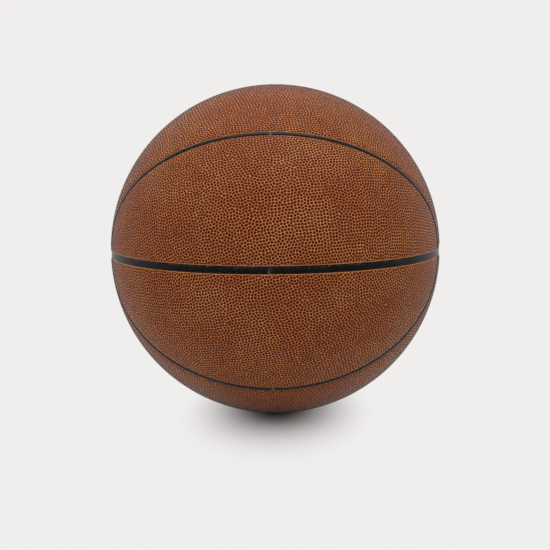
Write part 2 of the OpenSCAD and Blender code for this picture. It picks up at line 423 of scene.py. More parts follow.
class Pebbles:
    """Places of the pebbles on a flat sheet, one strayed from the middle of each square cell at first, then
    relaxed: in each round a pebble moves by a share of the sum of (reach - distance) away from each nearer
    neighbour. Soft rounds with a long reach come first, then firm ones with a short reach. Last, the whole
    sheet is pulled a little longer and narrower."""

    SPAN = 2                # cells looked through on each side of a pebble's own
    RING = 3                # cells beyond the sheet on each side
    STRAY = 0.45            # farthest stray from a cell's middle, as a share of the cell
    SOFT = (1.15, 0.25)     # reach in pitches, and share of the push, in a soft round
    HARD = (0.95, 0.45)     # the same in a firm round
    FIRM = 20               # number of firm rounds
    PULL = 1.03             # how many times longer the sheet is pulled
    CATCH = 0.43            # steps from the half-way line within which a corner is moved onto it
    LEAST = 0.12            # least doubled area of a triangle, in squares of a step

    def __init__(self, pitch, rounds, across, up, chance):
        self.pitch, self.cell = pitch, pitch * math.sqrt(ROOT3 / 2)
        self.origin = np.array([-across, -up]) - self.RING * self.cell
        self.shape = tuple(int(2 * half / self.cell) + 2 * self.RING + 1 for half in (up, across))
        i, j = np.meshgrid(*(np.arange(n) for n in self.shape), indexing="ij")
        spots = np.stack([j, i], -1) + 0.5 + chance.uniform(-self.STRAY, self.STRAY, (*self.shape, 2))
        spots = spots * self.cell + self.origin
        for reach, part in [self.SOFT] * rounds + [self.HARD] * self.FIRM:
            push = np.zeros_like(spots)
            for shift in self.around():
                apart = spots - np.roll(spots, shift, (0, 1))
                far = np.linalg.norm(apart, axis=-1, keepdims=True)
                push += apart / far * np.clip(reach * pitch - far, 0, None)
            spots[2:-2, 2:-2] += part * push[2:-2, 2:-2]
        self.spots = spots.reshape(-1, 2) * [self.PULL, 1 / self.PULL]
        _, self.tallness, self.tint = chance.uniform(0, 1, (len(self.spots), 3)).T

    def around(self):
        """Shifts to the cells round a cell."""
        reach = range(-self.SPAN, self.SPAN + 1)
        return [(a, b) for a in reach for b in reach if (a, b) != (0, 0)]

    def nearest(self, flat):
        """Numbers of the nearest and the second nearest pebble to each place, and their distances."""
        home = np.floor((flat / [self.PULL, 1 / self.PULL] - self.origin) / self.cell).astype(int)[:, ::-1]
        which, other = np.zeros(len(flat), int), np.zeros(len(flat), int)
        first, second = np.full(len(flat), np.inf), np.full(len(flat), np.inf)
        for shift in [(0, 0), *self.around()]:
            row, column = np.clip(home + shift, 0, np.array(self.shape) - 1).T
            number = row * self.shape[1] + column
            far = np.linalg.norm(flat - self.spots[number], axis=1)
            closer, between = far < first, (far >= first) & (far < second) & (number != which)
            second[closer], other[closer] = first[closer], which[closer]
            first[closer], which[closer] = far[closer], number[closer]
            second[between], other[between] = far[between], number[between]
        return which, other, first, second

    def crease(self, flat, triangles, free):
        """Moves the free corners of an even lattice that lie near the line half way between two pebbles
        onto that line, and puts back the corners of a triangle that this would crush or turn over."""
        which, other, first, second = self.nearest(flat)
        way = self.spots[other] - self.spots[which]
        width = np.linalg.norm(way, axis=1)
        gap = (second ** 2 - first ** 2) / (2 * width)
        step = self.pitch / FINE
        shift = way * (np.where(free & (gap < self.CATCH * step), gap, 0) / width)[:, None]
        for _ in range(4):
            a, b, c = (flat + shift)[triangles].transpose(1, 0, 2)
            area = (b - a)[:, 0] * (c - a)[:, 1] - (b - a)[:, 1] * (c - a)[:, 0]
            crushed = area * np.sign(np.median(area)) < self.LEAST * step * step
            shift[triangles[crushed]] = 0
        return flat + shift


def cut_sheet(kind, seams, valve, step, turn, drift):
    """Lattice over a front upper panel, trimmed to its edges.

    Returns the directions, the places on the flat sheet, the triangles, the distance to the nearest edge, a
    mask of the corners on an edge, and the panel's own frame. The drift is a function that moves places on
    the sheet. It is told which of them lie more than two steps inside."""
    line, side = loop_line(seams)
    columns = tilt_frame(kind, seams)
    span, rise = math.pi / 2 * COVER_R + 4 * step, SHEET_RISE
    across = span * abs(math.cos(turn)) + rise * abs(math.sin(turn))
    up = span * abs(math.sin(turn)) + rise * abs(math.cos(turn))
    even, triangles = lattice(step, across, up)
    spin = np.array([[math.cos(turn), math.sin(turn)], [-math.sin(turn), math.cos(turn)]])
    near = (np.abs(even @ spin) < [span, rise]).all(axis=1)
    triangles = triangles[near[triangles].all(axis=1)]
    used, triangles = used_only(triangles)
    still = even[used]
    gaps, at = edge_distances(on_ball(still @ spin / COVER_R, columns), kind, valve, line, side)
    moved = drift(still, triangles, gaps.min(axis=1) > 2 * step)
    rows = on_ball(moved @ spin / COVER_R, columns)
    gaps, at = edge_distances(rows, kind, valve, line, side)
    close = 0.3 * step
    inside = gaps.min(axis=1) > close
    triangles = triangles[inside[triangles].any(axis=1)]
    used, triangles = used_only(triangles)
    rows, moved, gaps, at, inside = (x[used] for x in (rows, moved, gaps, at, inside))
    rim = ~inside
    gaps[rim] = np.where(gaps[rim] <= close, -1.0, gaps[rim])
    rows[rim] = to_edges(rows[rim], gaps[rim], at[rim], kind, valve, line, side)
    for corner in corners_of(kind, line, side):
        rows[np.argmax(np.where(rim, rows @ corner, -1))] = corner
    moved[rim] = off_ball(rows[rim], columns) * COVER_R @ spin.T
    edge = np.where(rim, 0, gaps.min(axis=1))
    kept, triangles = welded(rows, triangles, 2e5)
    return rows[kept], moved[kept], triangles, edge[kept], rim[kept], columns


def rim_edges(triangles, count):
    """Edges with a triangle on one side only, in that triangle's own direction."""
    edges = np.concatenate([triangles[:, [0, 1]], triangles[:, [1, 2]], triangles[:, [2, 0]]])
    forward = edges[:, 0] * count + edges[:, 1]
    backward = edges[:, 1] * count + edges[:, 0]
    return edges[~np.isin(forward, backward)]


def coarse_face(rows, edges, columns, kind, seams, valve, step):
    """Coarse lattice that fills the inner side of a panel up to its rim, kept 0.6 of a step clear of it.

    Returns the numbers of the rim's corners, for each new corner the number of its rim corner or -1, the
    directions and the triangles."""
    line, side = loop_line(seams)
    rim = np.unique(edges)
    slot = np.full(len(rows), -1)
    slot[rim] = np.arange(len(rim))
    span, rise = math.pi / 2 * COVER_R, SHEET_RISE
    even, _ = lattice(step, span, rise)
    inner = on_ball(even / COVER_R, columns)
    gaps, _ = edge_distances(inner, kind, valve, line, side)
    inner = inner[gaps.min(axis=1) > 0.6 * step]
    flat = np.concatenate([off_ball(rows[rim], columns), off_ball(inner, columns)])
    found = delaunay_2d_cdt([Vector(p) for p in flat.tolist()], slot[edges].tolist(), [], 1, 1e-9)
    places, faces, sources = np.array([p[:] for p in found[0]]), np.array(found[2]), found[3]
    origin = np.array([s[0] if s else -1 for s in sources])
    out = on_ball(places, columns)
    middle = unit(out[faces].mean(axis=1))
    if valve is not None:
        faces = faces[np.arccos(np.clip(middle @ valve[0], -1, 1)) > math.asin(valve[1] / COVER_R)]
    return rim, origin, out, faces


def mirrored(points, triangles, front, up):
    """A front upper piece carried to its own quarter of the ball, its faces kept outwards."""
    points = points * np.array([1, front, up])
    return points, triangles[:, ::-1] if front * up < 0 else triangles


def valve_hole(kind, front, up):
    """Axis and radius of the valve hole in a panel's own front upper frame, where it has one."""
    if (kind, front, up) != ("inner", -1, 1):
        return None
    return VALVE_AXIS * np.array([1, -1, 1]), HOLE_R


def leather_panel(node, order, cover, seams):
    """Pebbled cover panel with rolled edges.

    A corner's distance from the centre is the cover's, less the pebble height where there is no pebble,
    less roll_depth (1 - e / roll_width)^2.2 at a distance e from the edge. A pebble stands
    (1 - (ratio / foot)^2)^0.8 of its height above its ground, where ratio runs from 0 on a pebble's middle
    to 1 half way to the next one: twice the nearest distance over the sum of the two nearest. Each pebble
    has LEAST_DOME to 1 of the full height. Toward an edge the pebbles and the ground between them meet at
    the cover's own distance, less the roll. The map holds the ratio and the pebble's own random share."""
    kind, front, up = LEATHER[node]
    chance = np.random.default_rng(PEBBLE_SEED + order)
    reach = math.pi / 2 * COVER_R + 3 * cover.pitch
    pebbles = Pebbles(cover.pitch, cover.relax, reach, SHEET_RISE + 0.4 * reach, chance)
    valve = valve_hole(kind, front, up)
    turn = math.radians(LATTICE_TURNS[order])
    rows, moved, triangles, edge, rim, columns = cut_sheet(
        kind, seams, valve, cover.pitch / FINE, turn, pebbles.crease)
    which, _, first, second = pebbles.nearest(moved)
    ratio = 2 * first / (first + second)
    full = LEAST_DOME + (1 - LEAST_DOME) * pebbles.tallness[which]
    dome = np.clip(1 - (ratio / cover.dome) ** 2, 0, None) ** 0.8 * full
    fade = np.clip((edge - EDGE_BARE) / EDGE_FADE, 0, 1)
    roll = cover.roll_depth * np.clip(1 - edge / cover.roll_width, 0, 1) ** 2.2
    distance = COVER_R - cover.height * (1 - dome * fade) - roll + cover.height * (1 - fade)
    distance = np.where(rim, COVER_R - cover.roll_depth, np.minimum(distance, COVER_R))
    edges = rim_edges(triangles, len(rows))
    rim_index, origin, inner, faces = coarse_face(rows, edges, columns, kind, seams, valve, INNER_STEP)
    count = len(rows)
    below = np.full(count, -1)
    below[rim_index] = count + np.arange(len(rim_index))
    a, b = edges[:, 0], edges[:, 1]
    wall = halved(b, a, below[a], below[b])
    extra = ~((origin >= 0) & (origin < len(rim_index)))
    number = np.where(extra, 0, count + origin)
    number[extra] = count + len(rim_index) + np.arange(extra.sum())
    floor = number[faces][:, ::-1]
    points = np.concatenate([rows * distance[:, None], rows[rim_index] * COVER_IN, inner[extra] * COVER_IN])
    flat = np.ones((len(points), 2))
    flat[:count] = np.stack([ratio, pebbles.tint[which]], 1)
    points, triangles = mirrored(points, np.concatenate([triangles, wall, floor]), front, up)
    margin = np.zeros((len(points), 2))
    margin[:count, 0] = edge / MM
    maps = {"pebbles": flat, "edge": margin}
    return make_piece(node.replace("_panel", "_leather"), points, triangles, maps)


def carried(path, side, out, profile, along, closed):
    """Profile carried along a path: each corner is the path's point plus the profile's two numbers along
    the side and outward directions there. Open ends are closed with a fan. Returns the corners, the
    triangles and, for each corner, the distance along and the share across."""
    count, corners = len(path), len(profile[0])
    points = path[:, None, :] + profile[..., :1] * side[:, None, :] + profile[..., 1:] * out[:, None, :]
    i = np.arange(count if closed else count - 1)[:, None]
    k = np.arange(corners)[None, :]
    a = i * corners + k
    b = i * corners + (k + 1) % corners
    c, d = (a + corners) % (count * corners), (b + corners) % (count * corners)
    triangles = halved(a, b, d, c)
    points = points.reshape(-1, 3)
    across = profile[0][:, 0] / np.abs(profile[0][:, 0]).max()
    flat = np.stack([np.repeat(along, corners), np.tile(across, count)], 1)
    if not closed:
        last = (count - 1) * corners
        fan = np.arange(1, corners - 1)
        start = np.stack([np.zeros_like(fan), fan + 1, fan], 1)
        end = np.stack([np.full_like(fan, last), last + fan, last + fan + 1], 1)
        triangles = np.concatenate([triangles, start, end])
    return points, triangles, flat


def strip_profile(half, seams, across, worn):
    """Closed cross-section of a seam strip, as distances across and outwards from the ball's centre.

    At the share x across, the top stands the sink below the solid, less dish (1 - x^2)^1.3 and less a
    groove along each edge on the wide strip, plus crown (1 - x^4) on a narrow one."""
    if half > SEAM_HALF:
        groove_width = 0.42 * MM
        groove = seams.groove * np.exp(-((1 - np.abs(across)) * half / groove_width) ** 2)
        top = STRIP_R - seams.sink - seams.dish * (1 - across ** 2) ** 1.3 - groove
    else:
        top = STRIP_R - seams.sink + seams.crown * (1 - across ** 4)
    top = top[None, :] - worn
    side = np.full((len(worn), 1), STRIP_IN)
    x = np.concatenate([across, [1.0, -1.0]]) * half
    y = np.concatenate([top, side, side], axis=1)
    return np.stack([np.broadcast_to(x, y.shape), y], -1)


def strip_piece(rows, half, seams, order, closed, joint):
    """Seam strip along a line of directions, with a butt joint at a share of its length.

    At the joint the top dips in a narrow trough, a bell whose width is half the joint's, and stands lower
    on the far side of it than on the near side, by a ledge that fades away from the joint as a bell 6 mm
    wide. Along the strip it sinks and rises by four slow sine waves and a finer grit. All this never
    raises it by more than nine tenths of the sink."""
    trough_depth, ledge_height, wave_height, grit = 0.22 * MM, 0.07 * MM, 0.012 * MM, 0.006 * MM
    chance = np.random.default_rng(STRIP_SEED + order)
    ahead = np.roll(rows, -1, axis=0) if closed else np.concatenate([rows[1:], 2 * rows[-1:] - rows[-2:-1]])
    behind = np.roll(rows, 1, axis=0) if closed else np.concatenate([2 * rows[:1] - rows[1:2], rows[:-1]])
    side = unit(np.cross(rows, ahead - behind))
    walk = walked(rows) * STRIP_R
    across = np.linspace(-1, 1, STRIP_CORNERS)
    across = np.sign(across) * np.abs(across) ** 0.75
    gap = walk - joint * walk[-1]
    if closed:
        total = walk[-1] + walk[1]
        gap = (gap + total / 2) % total - total / 2
    trough = trough_depth * np.exp(-(gap / (seams.joint / 2)) ** 2)
    ledge = ledge_height * np.tanh(gap / (0.4 * MM)) * np.exp(-(gap / (6 * MM)) ** 2)
    round_turn = walk / walk[-1] * 2 * math.pi
    wave = sum(np.sin(round_turn * n + chance.uniform(0, 6)) for n in (5, 9, 14, 23)) * wave_height
    rough = chance.normal(0, grit, (len(rows), len(across)))
    worn = (trough + ledge + wave)[:, None] + rough
    worn = np.maximum(worn, -seams.sink * 0.9)
    profile = strip_profile(half, seams, across, worn)
    points, triangles, flat = carried(np.zeros_like(rows), side, rows, profile, gap / MM, closed)
    triangles = triangles[:, ::-1]
    corners = flat[triangles]
    if closed:
        torn = np.ptp(corners[..., 0], axis=1) > total / MM / 2
        corners[torn, :, 0] += np.where(corners[torn, :, 0] < 0, total / MM, 0)
    return points, triangles, corners.reshape(-1, 2)


def stations(count, closed, joint, total):
    """Even steps along a strip, from 0 to 1, with 17 finer ones within 1.2 mm of its joint."""
    even = np.linspace(0, 1, count, endpoint=not closed)
    fine = joint + np.linspace(-1.2, 1.2, 17) * MM / total
    if closed:
        fine = fine % 1
    away = np.min(np.abs(even[:, None] - fine[None, :]), axis=1) > 0.4 / count
    keep = away | (even == 0) | (even == 1)
    if not closed:
        fine = fine[(fine > 0) & (fine < 1)]
    return np.unique(np.concatenate([even[keep], fine]))


def seam_line(name, seams):
    """Directions along a seam strip, its half width, whether it is a ring, and where its joint is."""
    low = math.asin(BAND_EDGE / STRIP_R)
    if name == "band_strip":
        share_along = stations(520, closed=True, joint=0.0, total=2 * math.pi * STRIP_R)
        turn = share_along * 2 * math.pi
        return np.stack([np.sin(turn), -np.cos(turn), 0 * turn], 1), BAND_HALF, True, 0.0
    if name.startswith("upright"):
        share_along = stations(280, closed=False, joint=0.5, total=math.pi * STRIP_R)
        turn = low + share_along * (math.pi - 2 * low)
        rows = np.stack([-np.cos(turn), 0 * turn, np.sin(turn)], 1)
    else:
        line, _ = loop_line(seams)
        line = line[line[:, 2] > BAND_EDGE / STRIP_R]
        share_along = stations(300, closed=False, joint=0.5, total=math.pi * STRIP_R)
        place_along = share_along * (len(line) - 1)
        whole = np.clip(place_along.astype(int), 0, len(line) - 2)
        part = (place_along - whole)[:, None]
        rows = unit(line[whole] * (1 - part) + line[whole + 1] * part)
    return rows, SEAM_HALF, False, 0.5


def turned_frame(axis):
    """Two directions square to an axis and to each other."""
    across = unit(np.cross(axis, [1.0, 0.0, 0.0]))
    return across, np.cross(axis, across)


def turned(profile, axis, count=96):
    """Closed outline turned about an axis: at each turn a corner is its radius along the spoke plus its
    height along the axis. Corners of no radius meet in one pole."""
    turn = np.linspace(0, 2 * math.pi, count, endpoint=False)
    first, second = turned_frame(axis)
    spoke = np.cos(turn)[:, None] * first + np.sin(turn)[:, None] * second
    rows = np.broadcast_to(np.asarray(profile, float), (count, len(profile), 2))
    out = np.broadcast_to(axis, spoke.shape)
    points, triangles, _ = carried(np.zeros_like(spoke), spoke, out, rows, turn, True)
    kept, triangles = welded(points, triangles)
    return points[kept], triangles


def rounded(outline, steps=5):
    """Outline with each corner replaced by an arc-like curve: a point on it is the mean of the corner and
    of two points on its sides, weighted 2t(1 - t), (1 - t)^2 and t^2. A row of the outline holds a corner's
    distance from the axis, its height and how far its curve reaches along the sides, 0.45 of each at most."""
    outline = np.asarray(outline, float)
    corners, radius = outline[:, :2], outline[:, 2]
    before, after = np.roll(corners, 1, axis=0), np.roll(corners, -1, axis=0)
    rows = []
    for here, back, on, reach in zip(corners, before, after, radius):
        if reach == 0:
            rows.append(here[None])
            continue
        ends = [here + (far - here) * min(reach / np.linalg.norm(far - here), 0.45) for far in (back, on)]
        t = np.linspace(0, 1, steps)[:, None]
        rows.append(ends[0] * (1 - t) ** 2 + here * 2 * t * (1 - t) + ends[1] * t ** 2)
    return np.concatenate(rows)


def backing_sheet(node, inside, seams):
    """Soft backing under one panel: an even lattice on both faces, with a wall round its edges. The outer
    face sinks by sag (1 - e / width)^2 at a distance e from an edge."""
    sag, width = 0.12 * MM, 2.5 * MM
    kind, front, up = LEATHER[node.replace("_backing", "_panel")]
    valve = valve_hole(kind, front, up)
    rows, _, triangles, edge, _, _ = cut_sheet(
        kind, seams, valve, inside.foam_step, 0.0, lambda even, *_: even)
    edges = rim_edges(triangles, len(rows))
    soft = np.clip(edge / width, 0, 1)
    count = len(rows)
    top = rows * (BACKING_R - sag * (1 - soft) ** 2)[:, None]
    bottom = rows * BACKING_IN
    a, b = edges[:, 0], edges[:, 1]
    wall = halved(b, a, a + count, b + count)
    points = np.concatenate([top, bottom])
    triangles = np.concatenate([triangles, wall, triangles[:, ::-1] + count])
    points, triangles = mirrored(points, triangles, front, up)
    return make_piece(node.replace("_backing", "_foam"), points, triangles)


def thread_line(inside, per_turn=64):
    """Middle line of one thread wound round the ball, as directions and distances from the centre.

    The thread runs round a great circle whose pole turns by the golden angle in each turn, while the pole's
    height climbs evenly from level to 0.98 of the way to the top. The distance from the centre grows evenly
    from the first turn to the last. Near the valve the thread is pushed out from the valve's line:
    (a^6 + hole^6)^(1/6) for an angle a."""
    steps = np.arange(inside.turns * per_turn + 1)
    along = steps / per_turn
    bearing = along * math.pi * (3 - math.sqrt(5))
    top = 0.98
    height = (along / inside.turns) * top
    flat = np.sqrt(1 - height ** 2)
    pole = np.stack([flat * np.cos(bearing), flat * np.sin(bearing), height], 1)
    level = unit(np.stack([-np.sin(bearing), np.cos(bearing), 0 * bearing], 1))
    rise = np.cross(pole, level)
    turn = (2 * math.pi * along - bearing)[:, None]
    rows = level * np.cos(turn) + rise * np.sin(turn)
    hole = THREAD_HOLE_R / WINDING_R
    reach = np.arccos(np.clip(rows @ VALVE_AXIS, -1, 1))
    pushed = (reach ** 6 + hole ** 6) ** (1 / 6)
    across = unit(square_to(VALVE_AXIS, rows))
    rows = VALVE_AXIS * np.cos(pushed)[:, None] + across * np.sin(pushed)[:, None]
    half, clear = inside.thread_d / 2, 0.01 * MM
    low, high = WINDING_IN + half + clear, WINDING_R - half - clear
    return rows, low + (high - low) * along / inside.turns


def thread_piece(inside):
    """Round thread carried along its line, closed at both ends."""
    rows, distance = thread_line(inside)
    path = rows * distance[:, None]
    side = unit(np.cross(rows, np.gradient(path, axis=0)))
    turn = np.linspace(0, 2 * math.pi, THREAD_CORNERS, endpoint=False)
    ring = np.stack([np.cos(turn), np.sin(turn)], 1) * inside.thread_d / 2
    profile = np.broadcast_to(ring, (len(path), *ring.shape))
    points, triangles, flat = carried(path, side, rows, profile, walked(path) / MM, False)
    return make_piece("winding_thread", points, triangles, {"thread": flat})


def bladder_piece(inside):
    """Moulded air bladder with a hole for the valve. The outer face stands at the layer's top on the ribs
    and a rib's height lower between them. Twelve ribs run from the valve to the far pole and one round the
    middle, each a narrow bell. They fade out at both poles, and a wider bell stands round the hole."""
    hole = math.asin(HOLE_R / BLADDER_R)
    down, about, ribs, width, collar_width = 110, 288, 12, 1.1 * MM, 3 * MM
    fall = hole + (math.pi - hole) * np.linspace(0, 1, down)
    turn = np.linspace(0, 2 * math.pi, about, endpoint=False)
    a, b = np.meshgrid(fall, turn, indexing="ij")
    beside = np.abs((b * ribs / (2 * math.pi) + 0.5) % 1 - 0.5) * 2 * math.pi / ribs * np.sin(a) * BLADDER_R
    across = (a - math.pi / 2) * BLADDER_R
    rib = np.maximum(np.exp(-(beside / width) ** 2), np.exp(-(across / width) ** 2))
    collar = np.exp(-((a - hole) * BLADDER_R / collar_width) ** 2)
    outer = BLADDER_R - inside.rib * (1 - np.maximum(rib * np.clip(np.sin(a) * 6, 0, 1), collar))
    first, second = turned_frame(VALVE_AXIS)
    rows = (np.cos(a)[..., None] * VALVE_AXIS
            + np.sin(a)[..., None] * (np.cos(b)[..., None] * first + np.sin(b)[..., None] * second))
    sheet = np.concatenate([rows * outer[..., None], rows[::-1] * BLADDER_IN])
    i, k = np.meshgrid(np.arange(2 * down), np.arange(about), indexing="ij")
    ahead, beyond = (i + 1) % (2 * down), (k + 1) % about
    triangles = halved(i * about + k, ahead * about + k, ahead * about + beyond, i * about + beyond)
    points = sheet.reshape(-1, 3)
    kept, triangles = welded(points, triangles)
    return make_piece("bladder_skin", points[kept], triangles)


def valve_sizes():
    """Radii and heights of the valve along its line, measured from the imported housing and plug."""
    def spans(node):
        """Height of each corner along the valve's line and its distance from that line."""
        rows = node_points(node)
        return rows @ VALVE_AXIS, np.linalg.norm(square_to(VALVE_AXIS, rows), axis=1)
    near = 0.01 * MM
    height, reach = spans("valve_housing")
    mouth, low = height.max(), height.min()
    near_mouth, near_low = reach[height > mouth - near], reach[height < low + near]
    plug_height, plug_reach = spans("valve_plug")
    top, foot = plug_height.max(), plug_height.min()
    on_top = plug_reach[plug_height > top - near]
    return {
        "mouth": mouth, "neck": near_mouth.max(), "bore": near_mouth.min(), "low": low,
        "barrel": near_low.max(), "flange": reach.max(), "air": near_low.min(),
        "top": top, "foot": foot, "head": on_top.max(), "needle": on_top.min(),
        "shank": plug_reach[plug_height < foot + near].max(),
        "blind": plug_height[(plug_reach < on_top.min() * 1.05) & (plug_height > foot + 1 * MM)].min(),
    }


def valve_pieces(inside):
    """Housing and plug as outlines turned about the valve's line.

    Housing: rounded mouth with a shallow ring groove, stepped bore, lip with the air hole, barrel and a
    domed flange. Plug: a head with a rounded edge and a dished, countersunk needle hole over its shank."""
    def flange(reach):
        """Heights of the flange's outer and inner faces at a distance from the valve's line."""
        return [math.sqrt((FLANGE_DOME_R - off) ** 2 - reach ** 2) for off in (0, FLANGE_T)]
    v = valve_sizes()
    seat, lip = v["top"] - HEAD_T - PLUG_GAP, v["low"] + LIP_T
    at_rim, at_barrel = flange(v["flange"]), flange(v["barrel"])
    groove, ring = (v["neck"] + v["bore"]) / 2, 0.22 * MM
    rim, top, under = v["flange"] - 0.2 * MM, v["top"], seat + PLUG_GAP
    housing = make_piece("valve_mouth", *turned(rounded([
        (v["bore"], v["mouth"], inside.rim * 0.7),
        (groove - ring, v["mouth"], 0.1 * MM),
        (groove, v["mouth"] - ring, 0.12 * MM),
        (groove + ring, v["mouth"], 0.1 * MM),
        (v["neck"], v["mouth"], inside.rim),
        (v["neck"], at_barrel[0], 1.2 * MM),
        (rim, at_rim[0], 0.5 * MM),
        (rim, at_rim[1], 0.5 * MM),
        (v["barrel"], at_barrel[1], 1 * MM),
        (v["barrel"], v["low"], 0.6 * MM),
        (v["air"], v["low"], 0.3 * MM),
        (v["air"], lip, 0.2 * MM),
        (v["shank"] + PLUG_GAP, lip, 0.1 * MM),
        (v["shank"] + PLUG_GAP, seat, 0.1 * MM),
        (v["bore"], seat, 0.1 * MM),
    ]), VALVE_AXIS), sharp=38)
    plug = make_piece("valve_stopper", *turned(rounded([
        (0, v["blind"], 0),
        (v["needle"], v["blind"], 0.2 * MM),
        (v["needle"], top - 0.62 * MM, 0.2 * MM),
        (v["needle"] + 0.55 * MM, top - 0.14 * MM, 0.3 * MM),
        (v["head"] - 0.5 * MM, top, 0.3 * MM),
        (v["head"], top - 0.12 * MM, 0.25 * MM),
        (v["head"], under, 0.1 * MM),
        (v["shank"], under, 0.15 * MM),
        (v["shank"], v["foot"], 0.5 * MM),
        (0, v["foot"], 0),
    ]), VALVE_AXIS), sharp=38)
    return housing, plug


# Finishes

class Wire:
    """A socket in a sum. Each operator adds one Math node."""

    def __init__(self, finish, socket):
        self.finish, self.socket = finish, socket

    def math(self, operation, *values):
        """Math node of an operation on the given values."""
        return self.finish.node("Math", {"operation": operation}, dict(enumerate(values)))

    def __add__(self, other):
        return self.math("ADD", self, other)

    def __radd__(self, other):
        return self.math("ADD", other, self)

    def __sub__(self, other):
        return self.math("SUBTRACT", self, other)

    def __rsub__(self, other):
        return self.math("SUBTRACT", other, self)

    def __mul__(self, other):
        return self.math("MULTIPLY", self, other)

    def __rmul__(self, other):
        return self.math("MULTIPLY", other, self)

    def __truediv__(self, other):
        return self.math("DIVIDE", self, other)

    def __rtruediv__(self, other):
        return self.math("DIVIDE", other, self)

    def __pow__(self, other):
        return self.math("POWER", self, other)

    def __rpow__(self, other):
        return self.math("POWER", other, self)

    def __neg__(self):
        return self.math("MULTIPLY", self, -1.0)

    def __abs__(self):
        return self.math("ABSOLUTE", self)

    def sine(self):
        """Sine of the number."""
        return self.math("SINE", self)

    def least(self, other):
        """The smaller of two numbers."""
        return self.math("MINIMUM", self, other)

    def most(self, other):
        """The larger of two numbers."""
        return self.math("MAXIMUM", self, other)

    def step(self, low, high, start=0.0, end=1.0):
        """Smooth rise from start at low to end at high."""
        return self.finish.node("MapRange", {"interpolation_type": "SMOOTHSTEP"}, {
            "Value": self, "From Min": low, "From Max": high, "To Min": start, "To Max": end})


class Finish:
    """One material, or the world, and its nodes."""

    def __init__(self, name, holder=None):
        self.owner = holder or bpy.data.materials.new(name)
        self.owner.use_nodes = True
        self.tree = self.owner.node_tree
        self.tree.nodes.clear()

    def node(self, kind, settings=None, inputs=None, output=0):
        """Node of a type, with its settings made first and then its sockets' values or links."""
        made = self.tree.nodes.new("ShaderNode" + kind)
        for key, value in (settings or {}).items():
            setattr(made, key, value)
        for key, value in (inputs or {}).items():
            socket = made.inputs[key]
            if isinstance(value, Wire):
                self.tree.links.new(value.socket, socket)
            else:
                socket.default_value = value
        return Wire(self, made.outputs[output]) if made.outputs else None

    def blend(self, amount, first, second):
        """Mix of two colours, the amount being the share of the second."""
        first, second = (c if isinstance(c, Wire) else (*c, 1.0) for c in (first, second))
        return self.node("Mix", {"data_type": "RGBA"}, {0: amount, 6: first, 7: second}, 2)

    def place(self):
        """Place on the object, in metres."""
        return self.node("TexCoord", output="Object")

    def map(self, name):
        """Place on one of the mesh's named maps."""
        return self.node("UVMap", {"uv_map": name})

    def split(self, vector):
        """The three numbers of a vector."""
        first = self.node("SeparateXYZ", inputs={0: vector})
        node = first.socket.node
        return [Wire(self, node.outputs[i]) for i in range(3)]

    def rays(self):
        """Three numbers, each 1 for its own rays: camera rays, glossy rays and rays that are let through."""
        path = self.node("LightPath").socket.node
        return [Wire(self, path.outputs[f"Is {kind} Ray"]) for kind in ("Camera", "Glossy", "Transmission")]

    def noise(self, vector, scale, detail=2.0, roughness=0.5):
        """Cloudy numbers from 0 to 1, with the given number of clouds to one unit of the vector."""
        return self.node("TexNoise", {}, {"Vector": vector, "Scale": scale, "Detail": detail,
                                          "Roughness": roughness}, "Fac")

    def cells(self, vector, scale, smoothness):
        """Distance from the middles of round cells, the given number of them to a metre."""
        return self.node("TexVoronoi", {"feature": "SMOOTH_F1"}, {
            "Vector": vector, "Scale": scale, "Smoothness": smoothness})

    def stretch(self, vector, factors):
        """Vector with each of its numbers times a factor."""
        return self.node("VectorMath", {"operation": "MULTIPLY"}, {0: vector, 1: factors})

    def bump(self, height, distance, strength=1.0):
        """Normal of a surface raised by a height of 1 over a distance in metres."""
        return self.node("Bump", {}, {"Height": height, "Distance": distance, "Strength": strength})

    def surface(self, **sockets):
        """Principled surface with the given sockets, names written with underscores."""
        return self.node("BsdfPrincipled", {}, {key.replace("_", " "): v for key, v in sockets.items()})

    def done(self, shader=None, **sockets):
        """Material that ends with the given shader, or with a Principled surface of the given sockets."""
        self.node("OutputMaterial", {}, {"Surface": shader or self.surface(**sockets)})
        return self.owner


def tone(colour_value):
    """Red, green and blue of a colour property."""
    return tuple(colour_value)[:3]


def shaded(colour_value, factor, lift=0.0):
    """Colour with each of its numbers times a factor, plus a lift."""
    return tuple(factor * c + lift for c in colour_value)


